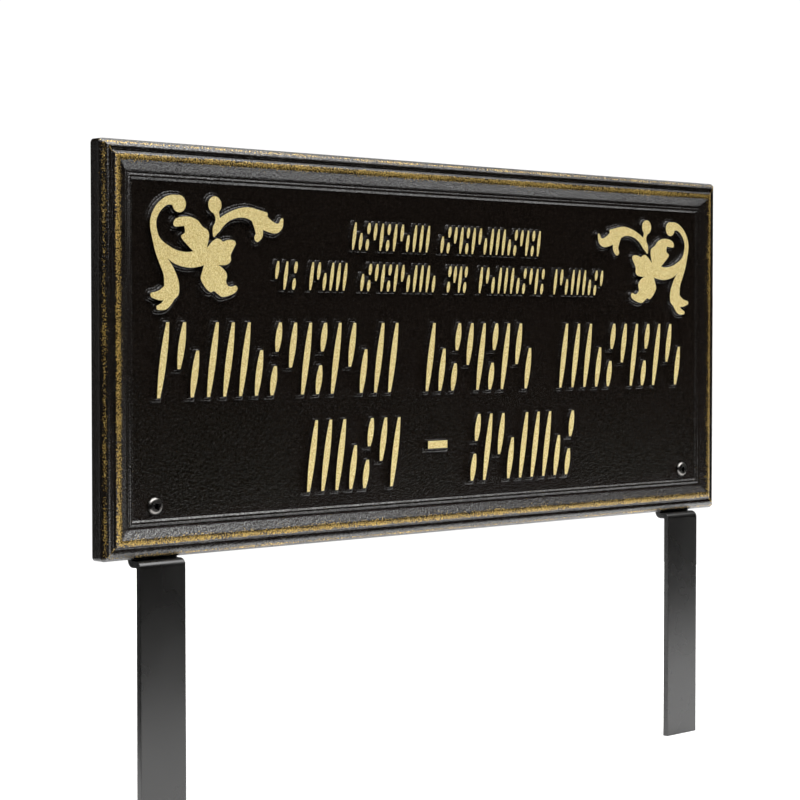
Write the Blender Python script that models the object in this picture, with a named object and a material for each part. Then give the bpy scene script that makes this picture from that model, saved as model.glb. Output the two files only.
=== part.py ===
# A cast memorial plaque on two lawn stakes.
# Metres, +Z up, +X to the viewer's right, the plaque's face towards -Y.
# The origin is on the ground, midway between the stakes, in the mid-plane of their bars.

import math

import bmesh
import bpy
from mathutils import Vector
from mathutils.geometry import delaunay_2d_cdt

MM = 0.001

# Clearance between pieces that touch or pass through one another
FIT_GAP = 0.0003

# Points closer than this are one point
MERGE = 0.000001

# Plaque
PLAQUE_WIDTH = 0.4317
PLAQUE_HEIGHT = 0.184
PLAQUE_FOOT_Z = 0.1255
FIELD_THICKNESS = 0.0026
FIELD_DROP = 0.0004
RIM_DEPTH = 0.00705
RIM_WIDTH = 0.005
POCKET_DRAFT = 0.0006
CORNER_RADIUS = 0.002
CORNER_STEPS = 5

# Moulding and bead, as inset from the edge and rise in front of the outer arris, in millimetres
MOULDING = [
    (0.00, -1.30),
    (0.12, -0.75),
    (0.42, -0.28),
    (0.95, 0.00),
    (1.50, 0.10),
    (2.50, 0.55),
    (3.40, 0.88),
    (4.20, 0.95),
    (4.80, 0.62),
    (5.40, 0.68),
    (5.95, 1.55),
    (6.60, 2.30),
    (7.40, 2.60),
    (8.20, 2.36),
    (8.80, 1.85),
    (9.70, 1.72),
    (10.20, 1.35),
    (11.30, 1.10),
    (12.40, 0.60),
    (13.30, -0.05),
    (13.90, -0.40),
    (14.55, -0.38),
    (14.85, 0.20),
    (15.35, 0.62),
    (15.90, 0.75),
    (16.40, 0.60),
    (16.80, 0.15),
    (17.10, -0.40),
]

# Raised work on the field
RELIEF_HEIGHT = 0.0021
RELIEF_DRAFT = 0.0010

# Ornaments: height over all, and the place of the flower's heart from the plaque's side and top edges
ORNAMENT_HEIGHT = 0.0515
ORNAMENT_UNITS = 51.5
ORNAMENT_FROM_SIDE = 0.05785
ORNAMENT_FROM_TOP = 0.0500
CURVE_STEPS = 3
CAP_STEPS = 5

# Rows of strokes. Heights are shares of the field's half height from its middle, and each group's
# left and right end are shares of the field's half width.
SMALL_STROKE = {"height": 0.174, "half": 0.00105, "pitch": 0.0046}
LARGE_STROKE = {"height": 0.447, "half": 0.00185, "pitch": 0.0092}
STROKE_ROWS = [
    (0.632, SMALL_STROKE, [(-0.347, -0.075), (-0.043, 0.337)]),
    (0.370, SMALL_STROKE, [(-0.596, -0.518), (-0.486, -0.357), (-0.319, -0.053),
                           (-0.020, 0.060), (0.096, 0.352), (0.382, 0.589)]),
    (-0.283, LARGE_STROKE, [(-0.944, -0.183), (-0.098, 0.313), (0.404, 0.935)]),
    (-0.897, LARGE_STROKE, [(-0.496, -0.176), (0.065, 0.473)]),
]
STROKE_LEAN = math.radians(9)
STROKE_SHOULDER = 0.62
STROKE_TAPER = 0.58
SPLIT_SHARE = 0.40
SHORT_SHARE = 0.62
DASH_PLACE = (-0.050, -0.641)
DASH_LENGTH = 0.0135
DASH_HEIGHT = 0.0036

# Stakes
STAKE_WIDTH = 0.0254
STAKE_THICKNESS = 0.003175
STAKE_FROM_SIDE = 0.03145
JOGGLE = 0.0062
BEND_RADIUS = 0.0019
BEND_STEPS = 6
UNDER_GAP = 0.0008
TAB_ABOVE_SCREW = 0.0123
TAB_CORNER = 0.003
TAB_CORNER_STEPS = 4

# Screws
SCREW_FROM_SIDE = 0.02905
SCREW_ABOVE_EDGE = 0.0230
SHANK_RADIUS = 0.00205
HEAD_RADIUS = 0.00395
HEAD_HEIGHT = 0.0015
HEAD_FLAT_RADIUS = 0.0022
SOCKET_ACROSS_FLATS = 0.0026
SOCKET_DEPTH = 0.0014
SHANK_CHAMFER = 0.0005
SCREW_SIDES = 24
DOME_STEPS = 5
SOCKET_TURN = {"left": math.radians(8), "right": math.radians(24)}
SMOOTH_UNDER = math.radians(35)

# Places that follow from the sizes above. The tab lies in the plaque's hollow back.
HALF_THICKNESS = STAKE_THICKNESS / 2
PLATE_BACK_Y = JOGGLE - HALF_THICKNESS - FIT_GAP
FIELD_Y = PLATE_BACK_Y - FIELD_THICKNESS
ARRIS_Y = FIELD_Y - FIELD_DROP
RIM_BACK_Y = ARRIS_Y + RIM_DEPTH
PLAQUE_CENTRE_Z = PLAQUE_FOOT_Z + PLAQUE_HEIGHT / 2
STAKE_HALF_SPREAD = PLAQUE_WIDTH / 2 - STAKE_FROM_SIDE
SCREW_HALF_SPREAD = PLAQUE_WIDTH / 2 - SCREW_FROM_SIDE
SCREW_Z = PLAQUE_FOOT_Z + SCREW_ABOVE_EDGE
TAB_TOP_Z = SCREW_Z + TAB_ABOVE_SCREW
HOLE_RADIUS = SHANK_RADIUS + FIT_GAP
FIELD_INSET = MOULDING[-1][0] * MM
FIELD_HALF_WIDTH = PLAQUE_WIDTH / 2 - FIELD_INSET
FIELD_HALF_HEIGHT = PLAQUE_HEIGHT / 2 - FIELD_INSET


def clear_scene():
    for obj in list(bpy.data.objects):
        bpy.data.objects.remove(obj)


def principled(name, colour, roughness, metallic):
    material = bpy.data.materials.new(name)
    material.use_nodes = True
    shader = material.node_tree.nodes["Principled BSDF"]
    shader.inputs["Base Color"].default_value = (*colour, 1)
    shader.inputs["Roughness"].default_value = roughness
    shader.inputs["Metallic"].default_value = metallic
    material.diffuse_color = (*colour, 1)
    return material


def add_object(name, bm, material):
    mesh = bpy.data.meshes.new(name)
    bm.to_mesh(mesh)
    bm.free()
    mesh.materials.append(material)
    obj = bpy.data.objects.new(name, mesh)
    bpy.context.scene.collection.objects.link(obj)
    return obj


# Flat curves. A point is (x, z) or, on a stroke, (x, z, half width).


def spline(points, closed, steps=CURVE_STEPS):
    """A Catmull-Rom curve through the points. A point that ends with "corner" keeps its corner."""
    count = len(points)
    drawn = [Vector(p[:-1] if p[-1] == "corner" else p) for p in points]
    sharp = [p[-1] == "corner" for p in points]
    curve = []
    for i in range(count if closed else count - 1):
        a, b = drawn[i], drawn[(i + 1) % count]
        before = drawn[i - 1] if (closed or i) and not sharp[i] else a
        after = drawn[(i + 2) % count] if closed or i + 2 < count else b
        if sharp[(i + 1) % count]:
            after = b
        for step in range(steps):
            t = step / steps
            curve.append(
                0.5 * (2 * a + (b - before) * t
                       + (2 * before - 5 * a + 4 * b - after) * t * t
                       + (3 * a - before - 3 * b + after) * t ** 3)
            )
    if not closed:
        curve.append(drawn[-1])
    return curve


def stroke(points, grow=0.0, steps=CURVE_STEPS):
    """The outline of a round-ended band that follows points of (x, z, half width)."""
    spine = spline(points, False, steps)
    left, right = [], []
    for i, p in enumerate(spine):
        ahead = spine[min(i + 1, len(spine) - 1)].xy - spine[max(i - 1, 0)].xy
        side = Vector((-ahead.y, ahead.x)).normalized() * (p.z + grow)
        left.append(p.xy + side)
        right.append(p.xy - side)
    outline = list(right)
    for end, edge in ((spine[-1], right[-1]), (spine[0], left[0])):
        centre = end.xy
        arm = edge - centre
        for step in range(1, CAP_STEPS):
            angle = math.pi * step / CAP_STEPS
            turn = Vector((arm.x * math.cos(angle) - arm.y * math.sin(angle),
                           arm.x * math.sin(angle) + arm.y * math.cos(angle)))
            outline.append(centre + turn)
        if end is spine[-1]:
            outline += reversed(left)
    return outline


def area(outline):
    return sum(a.x * b.y - b.x * a.y for a, b in zip(outline, outline[1:] + outline[:1])) / 2


def grown(outline, grow):
    """The outline with each point moved outward by grow."""
    if not grow:
        return outline
    sign = 1 if area(outline) > 0 else -1
    moved = []
    for i, p in enumerate(outline):
        along = (outline[(i + 1) % len(outline)] - outline[i - 1]).normalized()
        moved.append(p + Vector((along.y, -along.x)) * sign * grow)
    return moved


def disc(x, z, radius, sides):
    return [Vector((x + radius * math.cos(2 * math.pi * i / sides),
                    z + radius * math.sin(2 * math.pi * i / sides))) for i in range(sides)]


# The ornament, drawn for the left side about the flower's heart, in grid units.
# It is a scroll with a bulb that sweeps into a bowl, a stem that ends in leaf tips,
# a flower of three petals, a berry on a stalk, and an arching frond with a curled tip.
SCROLL = [(-15.8, 23.3, 3.4), (-19.4, 24.5, 2.3), (-23.4, 23.8, 1.75), (-27.8, 20.4, 1.65),
          (-30.4, 15.2, 1.65), (-29.8, 9.6, 1.75), (-27.6, 5.6, 1.9), (-23.6, 2.5, 2.3),
          (-17.9, -0.6, 3.0), (-11.0, -1.8, 3.4), (-5.0, -1.0, 3.7), (0.0, 0.5, 3.6)]
BULB = (-15.9, 23.0, 3.8)
STEM = [(-30.0, 9.0, 1.4), (-27.8, 2.9, 1.9), (-24.9, -2.4, 2.5), (-21.9, -7.2, 3.2),
        (-20.4, -12.0, 4.05), (-20.2, -15.4, 4.2)]
LEAF_TIPS = [
    [(-20.4, -15.2, 3.6), (-25.6, -17.5, 2.5), (-28.6, -17.9, 1.75), (-31.0, -17.7, 1.1)],
    [(-20.6, -15.6, 3.7), (-21.9, -19.4, 2.6), (-24.4, -22.3, 1.9), (-27.8, -23.2, 1.0)],
    [(-19.6, -14.0, 3.7), (-17.8, -16.6, 1.6)],
]
PETALS = [
    [(-9.6, 3.5, "corner"), (-14.7, 8.2), (-12.6, 10.3), (-13.0, 13.3, "corner"),
     (-18.3, 12.9), (-19.0, 14.7), (-17.4, 16.4), (-13.6, 17.3), (-9.0, 17.2), (-5.0, 15.7),
     (-2.6, 13.3), (0.4, 11.7), (1.2, 9.4), (0.6, 6.2), (-0.4, 3.0, "corner"), (-3.0, -1.5, "corner")],
    [(-0.4, 3.0, "corner"), (2.6, 6.2), (5.6, 8.0), (8.0, 7.7), (9.5, 6.8), (12.2, 7.6),
     (15.6, 7.6), (16.9, 6.2), (15.3, 3.4), (13.9, 0.9), (14.0, -1.5), (12.4, -3.1),
     (9.4, -3.7), (4.6, -3.6, "corner"), (-1.0, -3.4, "corner")],
    [(-1.4, -3.4, "corner"), (-2.6, -6.6), (-3.6, -9.8), (-2.4, -12.2), (-0.4, -14.5),
     (2.1, -16.0), (4.0, -15.5), (6.4, -16.9), (9.0, -18.1), (13.0, -17.4), (16.5, -16.0),
     (17.9, -14.2), (16.8, -12.9), (14.6, -13.5), (12.4, -13.1), (11.1, -11.2), (11.7, -8.4),
     (10.4, -6.2), (7.6, -4.3), (4.6, -3.5, "corner"), (1.5, -1.0, "corner")],
]
BERRY = (4.7, 23.3, 3.8)
BERRY_STALK = [(5.0, 21.0, 1.8), (6.3, 17.6, 1.2), (6.2, 13.6, 1.7)]
FROND = [(4.2, 9.6, 0.7), (5.6, 12.6, 2.1), (8.6, 15.6, 2.0), (12.8, 18.2, 1.75), (18.2, 20.0, 1.95),
         (24.0, 20.4, 2.5), (29.2, 19.0, 3.2), (33.2, 16.8, 3.5), (37.4, 14.8, 2.8),
         (41.0, 13.9, 2.3), (43.8, 15.0, 1.6), (45.0, 17.8, 0.8)]
FROND_SPUR = [(29.2, 19.2, 3.2), (35.2, 20.1, 1.0)]
FROND_LOBE = [(29.2, 17.4, 2.6), (30.7, 13.4, 2.3), (31.0, 10.8, 2.15), (29.9, 9.1, 1.75)]


def ornament_outlines(grow):
    """Every outline of the left ornament about its heart, in metres, each grown by the same amount."""
    unit = ORNAMENT_HEIGHT / ORNAMENT_UNITS
    in_units = grow / unit
    outlines = [stroke(band, in_units) for band in (SCROLL, STEM, *LEAF_TIPS, BERRY_STALK, FROND,
                                                    FROND_SPUR, FROND_LOBE)]
    outlines += [disc(x, z, radius + in_units, 16) for x, z, radius in (BULB, BERRY)]
    for petal in PETALS:
        edge = spline(petal, True)
        outlines.append(grown(edge, in_units))
        if grow:
            outlines.append(edge)
    return [[p * unit for p in outline] for outline in outlines]


def both_ornaments(grow):
    outlines = []
    for outline in ornament_outlines(grow):
        heart = Vector((ORNAMENT_FROM_SIDE - PLAQUE_WIDTH / 2, PLAQUE_HEIGHT / 2 - ORNAMENT_FROM_TOP))
        left = [heart + p for p in outline]
        outlines.append(left)
        outlines.append([Vector((-p.x, p.y)) for p in reversed(left)])
    return outlines


# The rows of strokes


def lens(x, foot, height, half, grow):
    """A slanted stroke that swells in the middle and has blunt ends."""
    lean = math.tan(STROKE_LEAN)
    middle = foot + height / 2
    outline = []
    for side, order in ((1, (-1, -STROKE_SHOULDER, STROKE_SHOULDER, 1)),
                        (-1, (1, STROKE_SHOULDER, -STROKE_SHOULDER, -1))):
        for t in order:
            z = middle + t * (height / 2 + grow)
            width = half * (1 - STROKE_TAPER * t * t) + grow
            outline.append(Vector((x + (z - middle) * lean + side * width, z)))
    return outline


# Where each kind of stroke stands in its row: pairs of (lowest share, share of the height)
STROKE_KINDS = {
    "whole": [(0, 1)],
    "split": [(0, SPLIT_SHARE), (1 - SPLIT_SHARE, SPLIT_SHARE)],
    "low": [(0, SHORT_SHARE)],
    "high": [(1 - SHORT_SHARE, SHORT_SHARE)],
}
KIND_ORDER = ["whole", "low", "split", "high", "whole", "split", "whole", "high", "low", "whole", "whole"]


def row_outlines(row_number, grow):
    """Whole, split, low and high strokes in turn, along each group of the row."""
    outlines = []
    foot_share, sizes, groups = STROKE_ROWS[row_number]
    foot = foot_share * FIELD_HALF_HEIGHT
    height = sizes["height"] * FIELD_HALF_HEIGHT
    lean = math.tan(STROKE_LEAN)
    reach = lean * height / 2 + sizes["half"]
    place = 3 * row_number
    for left, right in groups:
        first = left * FIELD_HALF_WIDTH + reach
        span = (right - left) * FIELD_HALF_WIDTH - 2 * reach
        count = max(2, round(span / sizes["pitch"]) + 1)
        for i in range(count):
            x = first + span * i / (count - 1)
            for low, share in STROKE_KINDS[KIND_ORDER[place % len(KIND_ORDER)]]:
                shift = lean * height * (low + share / 2 - 0.5)
                outlines.append(lens(x + shift, foot + low * height, share * height, sizes["half"], grow))
            place += 1
    return outlines


def dash_outline(grow):
    centre = Vector((DASH_PLACE[0] * FIELD_HALF_WIDTH, DASH_PLACE[1] * FIELD_HALF_HEIGHT))
    half = Vector((DASH_LENGTH / 2 + grow, DASH_HEIGHT / 2 + grow))
    return [centre + half * Vector(corner) for corner in ((-1, -1), (1, -1), (1, 1), (-1, 1))]


def relief_outlines(grow):
    outlines = both_ornaments(grow)
    for row_number in range(len(STROKE_ROWS)):
        outlines += row_outlines(row_number, grow)
    outlines.append(dash_outline(grow))
    return outlines


# Joining outlines and filling flat areas


def ring_edges(loops):
    points, edges = [], []
    for loop in loops:
        first = len(points)
        points += loop
        edges += [(first + i, first + (i + 1) % len(loop)) for i in range(len(loop))]
    return points, edges


def winding(point, outline):
    """How many times the outline turns round the point."""
    turns = 0
    for a, b in zip(outline, outline[1:] + outline[:1]):
        if (a.y <= point.y) != (b.y <= point.y):
            across = (b.x - a.x) * (point.y - a.y) - (point.x - a.x) * (b.y - a.y)
            if (across > 0) == (b.y > a.y):
                turns += 1 if b.y > a.y else -1
    return turns


def boxed(outlines):
    return [(o, min(p.x for p in o), max(p.x for p in o), min(p.y for p in o), max(p.y for p in o))
            for o in outlines]


def inside_any(point, boxes):
    return any(x0 <= point.x <= x1 and z0 <= point.y <= z1 and winding(point, outline)
               for outline, x0, x1, z0, z1 in boxes)


JOIN_WITHIN = 0.00002
LEAST_EDGE = 0.00012


def joined(outlines):
    """The outer and inner boundary loops of all the outlines taken together."""
    points, edges = ring_edges(outlines)
    flat, _, faces, _, _, _ = delaunay_2d_cdt(points, edges, [], 0, JOIN_WITHIN)
    boxes = boxed(outlines)
    following = {}
    for face in faces:
        centre = sum((flat[v] for v in face), Vector((0, 0))) / len(face)
        if inside_any(centre, boxes):
            for a, b in zip(face, face[1:] + face[:1]):
                following[(a, b)] = True
    nexts = {}
    for a, b in following:
        if (b, a) not in following:
            nexts.setdefault(a, []).append(b)
    loops = []
    while nexts:
        start = min(nexts)
        loop = [start]
        while True:
            ends = nexts[loop[-1]]
            ahead = ends.pop()
            if not ends:
                del nexts[loop[-1]]
            if ahead == start:
                break
            loop.append(ahead)
        if len(loop) > 2:
            loops.append(thinned([flat[v].copy() for v in loop]))
    return loops


def thinned(loop):
    """The loop without points that crowd their neighbour."""
    kept = [loop[0]]
    for p in loop[1:]:
        if (p - kept[-1]).length > LEAST_EDGE:
            kept.append(p)
    if (kept[0] - kept[-1]).length <= LEAST_EDGE:
        kept.pop()
    return kept


def fill(bm, loops, keep):
    """Fills between loops of (points, depth), and keeps the triangles whose centre passes the test."""
    points, edges = ring_edges([loop for loop, _ in loops])
    depths = [depth for loop, depth in loops for _ in loop]
    flat, _, faces, origin, _, _ = delaunay_2d_cdt(points, edges, [], 0, MERGE)
    made = {}
    for face in faces:
        centre = sum((flat[v] for v in face), Vector((0, 0))) / len(face)
        if not keep(centre):
            continue
        for v in face:
            if v not in made:
                made[v] = bm.verts.new((flat[v].x, depths[origin[v][0]], flat[v].y))
        bm.faces.new([made[v] for v in face])


# The plaque


def frame_ring(inset, radius=CORNER_RADIUS):
    """A rectangle inset from the plaque's edge, with rounded corners while the radius lasts."""
    half_width = PLAQUE_WIDTH / 2 - inset
    half_height = PLAQUE_HEIGHT / 2 - inset
    corner = max(radius - inset, 0)
    if not corner:
        return [Vector((x * half_width, z * half_height)) for x, z in ((1, 1), (-1, 1), (-1, -1), (1, -1))]
    ring = []
    for quarter, (x, z) in enumerate(((1, 1), (-1, 1), (-1, -1), (1, -1))):
        for step in range(CORNER_STEPS + 1):
            angle = math.pi / 2 * (quarter + step / CORNER_STEPS)
            ring.append(Vector((x * (half_width - corner) + corner * math.cos(angle),
                                z * (half_height - corner) + corner * math.sin(angle))))
    return ring


def ring_vertices(bm, ring, depth):
    """The ring's vertices, with a sharp corner given once for each step of a rounded one."""
    repeat = CORNER_STEPS + 1 if len(ring) == 4 else 1
    return [bm.verts.new((p.x, depth, p.y)) for p in ring for _ in range(repeat)]


def bridge(bm, lower, upper):
    for i in range(len(lower)):
        j = (i + 1) % len(lower)
        bm.faces.new((lower[i], lower[j], upper[j], upper[i]))


def screw_holes():
    return [disc(side * SCREW_HALF_SPREAD, SCREW_Z - PLAQUE_CENTRE_Z, HOLE_RADIUS, SCREW_SIDES)
            for side in (-1, 1)]


def plaque_surface():
    """The whole casting as one closed surface, about the plaque's centre."""
    bm = bmesh.new()
    holes = screw_holes()

    # Front: the field, the relief and the holes
    tops = joined(relief_outlines(0.0))
    feet = joined(relief_outlines(RELIEF_DRAFT))
    field = frame_ring(FIELD_INSET)
    loops = [(field, FIELD_Y)]
    loops += [(hole, FIELD_Y) for hole in holes]
    loops += [(foot, FIELD_Y) for foot in feet]
    loops += [(top, FIELD_Y - RELIEF_HEIGHT) for top in tops]
    hole_boxes = boxed(holes)
    fill(bm, loops, lambda p: not inside_any(p, hole_boxes))

    # Moulding and side, from the field's edge out to the rim's back
    rings = [ring_vertices(bm, frame_ring(inset * MM), ARRIS_Y - rise * MM)
             for inset, rise in reversed(MOULDING)]
    rings.append(ring_vertices(bm, frame_ring(0), RIM_BACK_Y))
    rings.append(ring_vertices(bm, frame_ring(RIM_WIDTH, RIM_WIDTH + CORNER_RADIUS), RIM_BACK_Y))
    pocket = frame_ring(RIM_WIDTH + POCKET_DRAFT, RIM_WIDTH + POCKET_DRAFT + CORNER_RADIUS)
    rings.append(ring_vertices(bm, pocket, PLATE_BACK_Y))
    for inner, outer in zip(rings, rings[1:]):
        bridge(bm, inner, outer)

    # Hollow back: the plate's back with the same holes, and the walls of the holes
    fill(bm, [(pocket, PLATE_BACK_Y)] + [(hole, PLATE_BACK_Y) for hole in holes],
         lambda p: not inside_any(p, hole_boxes))
    for hole in holes:
        bridge(bm, [bm.verts.new((p.x, FIELD_Y, p.y)) for p in hole],
               [bm.verts.new((p.x, PLATE_BACK_Y, p.y)) for p in hole])

    bmesh.ops.remove_doubles(bm, verts=bm.verts, dist=MERGE)
    bmesh.ops.dissolve_degenerate(bm, edges=bm.edges, dist=MERGE)
    bm.normal_update()
    bmesh.ops.recalc_face_normals(bm, faces=bm.faces)
    return bm


def notch_cutter(name, x):
    """A box that clears the rim below the plate's back where a stake passes."""
    width = STAKE_WIDTH + 4 * FIT_GAP
    low = -PLAQUE_HEIGHT / 2 - RIM_WIDTH
    high = -PLAQUE_HEIGHT / 2 + RIM_WIDTH + 2 * POCKET_DRAFT
    bm = bmesh.new()
    bmesh.ops.create_cube(bm, size=1)
    bmesh.ops.scale(bm, vec=(width, RIM_DEPTH, high - low), verts=bm.verts)
    bmesh.ops.translate(bm, vec=(x, PLATE_BACK_Y + RIM_DEPTH / 2, (low + high) / 2), verts=bm.verts)
    cutter = add_object(name, bm, principled(name, (1, 0, 0), 0.5, 0))
    cutter.hide_render = True
    cutter.display_type = "WIRE"
    return cutter


def build_plaque(material):
    plaque = add_object("plaque", plaque_surface(), material)
    plaque.location.z = PLAQUE_CENTRE_Z
    for name, side in (("notch_left", -1), ("notch_right", 1)):
        cutter = notch_cutter(name, side * STAKE_HALF_SPREAD)
        cutter.location.z = PLAQUE_CENTRE_Z
        cut = plaque.modifiers.new(name, "BOOLEAN")
        cut.operation = "DIFFERENCE"
        cut.solver = "EXACT"
        cut.object = cutter
    return plaque


# The stakes


def stake_side():
    """The bar's outline seen from its side, as (y, z): down its front, then up its back."""
    run_z = PLAQUE_FOOT_Z - UNDER_GAP - HALF_THICKNESS
    front, back = [(-HALF_THICKNESS, 0.0)], [(HALF_THICKNESS, 0.0)]
    lower = (BEND_RADIUS, run_z - BEND_RADIUS)
    upper = (JOGGLE - BEND_RADIUS, run_z + BEND_RADIUS)
    for step in range(BEND_STEPS + 1):
        angle = math.pi / 2 * step / BEND_STEPS
        for edge, radius in ((front, BEND_RADIUS + HALF_THICKNESS), (back, BEND_RADIUS - HALF_THICKNESS)):
            edge.append((lower[0] - radius * math.cos(angle), lower[1] + radius * math.sin(angle)))
    for step in range(BEND_STEPS + 1):
        angle = math.pi / 2 * step / BEND_STEPS
        for edge, radius in ((front, BEND_RADIUS - HALF_THICKNESS), (back, BEND_RADIUS + HALF_THICKNESS)):
            edge.append((upper[0] + radius * math.sin(angle), upper[1] - radius * math.cos(angle)))
    front.append((JOGGLE - HALF_THICKNESS, TAB_TOP_Z))
    back.append((JOGGLE + HALF_THICKNESS, TAB_TOP_Z))
    return front, back


def build_stake(name, side, material):
    """A flat bar, bent twice, with the tab's upper corners rounded and a hole for its screw."""
    front, back = stake_side()
    bm = bmesh.new()
    half = STAKE_WIDTH / 2
    rows = [[bm.verts.new((x, y, z)) for y, z in edge] for x in (-half, half) for edge in (front, back)]
    left_front, left_back, right_front, right_back = rows
    for a, b in ((left_front, right_front), (right_front, right_back), (right_back, left_back),
                 (left_back, left_front)):
        for i in range(len(front) - 1):
            bm.faces.new((a[i], b[i], b[i + 1], a[i + 1]))
    for end in (0, -1):
        bm.faces.new((left_front[end], right_front[end], right_back[end], left_back[end]))
    bmesh.ops.remove_doubles(bm, verts=bm.verts, dist=MERGE)
    corners = [e for e in bm.edges if all(abs(v.co.z - TAB_TOP_Z) < MERGE for v in e.verts)
               and abs(e.verts[0].co.x - e.verts[1].co.x) < MERGE]
    bmesh.ops.bevel(bm, geom=corners, offset=TAB_CORNER, segments=TAB_CORNER_STEPS, profile=0.5,
                    affect="EDGES")
    bm.normal_update()
    bmesh.ops.recalc_face_normals(bm, faces=bm.faces)
    stake = add_object(name, bm, material)
    stake.location.x = side * STAKE_HALF_SPREAD

    drill = bmesh.new()
    bmesh.ops.create_cone(drill, cap_ends=True, segments=SCREW_SIDES, radius1=HOLE_RADIUS,
                          radius2=HOLE_RADIUS, depth=STAKE_THICKNESS * 3)
    for v in drill.verts:
        v.co = Vector((v.co.x + side * SCREW_HALF_SPREAD, JOGGLE - v.co.z, SCREW_Z + v.co.y))
    cutter = add_object("drill_" + name, drill, principled("drill_" + name, (1, 0, 0), 0.5, 0))
    cutter.hide_render = True
    cutter.display_type = "WIRE"
    cut = stake.modifiers.new("screw_hole", "BOOLEAN")
    cut.operation = "DIFFERENCE"
    cut.solver = "EXACT"
    cut.object = cutter
    return stake


# The screws


def build_screw(name, side, turn, material):
    """A button head with a hexagon socket on a plain shank that ends level with the tab's back."""
    head_y = FIELD_Y - FIT_GAP
    top_y = head_y - HEAD_HEIGHT
    tip_y = JOGGLE + HALF_THICKNESS
    profile = [(SHANK_RADIUS - SHANK_CHAMFER, tip_y), (SHANK_RADIUS, tip_y - SHANK_CHAMFER),
               (SHANK_RADIUS, head_y), (HEAD_RADIUS, head_y)]
    for step in range(1, DOME_STEPS + 1):
        angle = math.pi / 2 * step / DOME_STEPS
        radius = HEAD_FLAT_RADIUS + (HEAD_RADIUS - HEAD_FLAT_RADIUS) * math.cos(angle)
        profile.append((radius, head_y - HEAD_HEIGHT * math.sin(angle)))
    bm = bmesh.new()
    rings = []
    for radius, y in profile:
        rings.append([bm.verts.new((p.x, y, p.y)) for p in disc(0, 0, radius, SCREW_SIDES)])
    sixth = math.pi / 3
    for y in (top_y, top_y + SOCKET_DEPTH):
        ring = []
        for i in range(SCREW_SIDES):
            angle = 2 * math.pi * i / SCREW_SIDES
            reach = SOCKET_ACROSS_FLATS / 2 / math.cos(angle % sixth - sixth / 2)
            ring.append(bm.verts.new((reach * math.cos(angle), y, reach * math.sin(angle))))
        rings.append(ring)
    for a, b in zip(rings, rings[1:]):
        bridge(bm, a, b)
    bm.faces.new(rings[0])
    bm.faces.new(rings[-1])
    bm.normal_update()
    bmesh.ops.recalc_face_normals(bm, faces=bm.faces)
    screw = add_object(name, bm, material)
    screw.data.shade_smooth()
    screw.data.set_sharp_from_angle(angle=SMOOTH_UNDER)
    screw.location = (side * SCREW_HALF_SPREAD, 0, SCREW_Z)
    screw.rotation_euler.y = turn
    return screw


clear_scene()
cast_black = principled("cast_black_and_gold", (0.020, 0.018, 0.016), 0.45, 0.3)
stake_black = principled("stake_black", (0.015, 0.014, 0.013), 0.4, 0.0)
screw_black = principled("screw_black", (0.05, 0.05, 0.047), 0.3, 0.8)
build_plaque(cast_black)
for word, hand in (("left", -1), ("right", 1)):
    build_stake("stake_" + word, hand, stake_black)
    build_screw("screw_" + word, hand, SOCKET_TURN[word], screw_black)
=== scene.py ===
import math

import bmesh
import bpy
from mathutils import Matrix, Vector
from mathutils.geometry import delaunay_2d_cdt


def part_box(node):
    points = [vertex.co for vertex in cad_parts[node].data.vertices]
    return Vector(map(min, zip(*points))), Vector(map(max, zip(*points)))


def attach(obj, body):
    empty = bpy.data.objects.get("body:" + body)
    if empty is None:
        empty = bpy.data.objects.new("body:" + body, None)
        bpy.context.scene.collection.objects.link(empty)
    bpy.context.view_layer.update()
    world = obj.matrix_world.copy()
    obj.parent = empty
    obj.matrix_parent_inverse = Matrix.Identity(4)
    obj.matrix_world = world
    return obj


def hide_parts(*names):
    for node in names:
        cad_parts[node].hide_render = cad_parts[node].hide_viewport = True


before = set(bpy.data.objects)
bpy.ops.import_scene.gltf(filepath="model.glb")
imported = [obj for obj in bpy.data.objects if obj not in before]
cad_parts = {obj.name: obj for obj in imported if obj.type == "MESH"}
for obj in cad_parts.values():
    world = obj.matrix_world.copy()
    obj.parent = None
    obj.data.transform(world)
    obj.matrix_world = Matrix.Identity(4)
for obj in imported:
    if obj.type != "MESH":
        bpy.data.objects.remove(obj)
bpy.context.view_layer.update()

mm = 0.001

# Sizes of the frame that the pieces below are fitted to
plaqueLow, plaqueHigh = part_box("plaque")
stakeLow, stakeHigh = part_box("stake_right")
screwLow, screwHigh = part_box("screw_right")
plaqueWidth = plaqueHigh.x - plaqueLow.x
plaqueHeight = plaqueHigh.z - plaqueLow.z
plaqueMiddle = (plaqueHigh.z + plaqueLow.z) / 2
rimBack = plaqueHigh.y
barThickness = -2 * stakeLow.y
tabBack = stakeHigh.y
joggle = tabBack - barThickness / 2
screwX = (screwLow.x + screwHigh.x) / 2
screwZ = (screwLow.z + screwHigh.z) / 2
stakeX = (stakeLow.x + stakeHigh.x) / 2
fitGap = 0.3 * mm  # left in the frame between pieces that lie on one another
plateBack = tabBack - barThickness - fitGap

sameLevel = 0.001 * mm  # faces and points that differ less in depth are level
samePlace = 0.01 * mm
cutterReach = 5 * mm  # how far a cutter goes past what it cuts


# Small helpers for working in edit mode

def startPiece(name):
    piece = bpy.context.object
    piece.name = name
    piece.data.name = name
    return piece


def deselectAll():
    bpy.ops.object.select_all(action="DESELECT")


def selectOnly(piece):
    deselectAll()
    piece.select_set(True)
    bpy.context.view_layer.objects.active = piece


def editOnly(piece):
    selectOnly(piece)
    bpy.ops.object.mode_set(mode="EDIT")
    bpy.ops.mesh.select_all(action="DESELECT")


def doneEditing():
    bpy.ops.object.mode_set(mode="OBJECT")


def selectMode(kind):
    bpy.context.tool_settings.mesh_select_mode = (kind == "VERT", kind == "EDGE", kind == "FACE")


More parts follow.
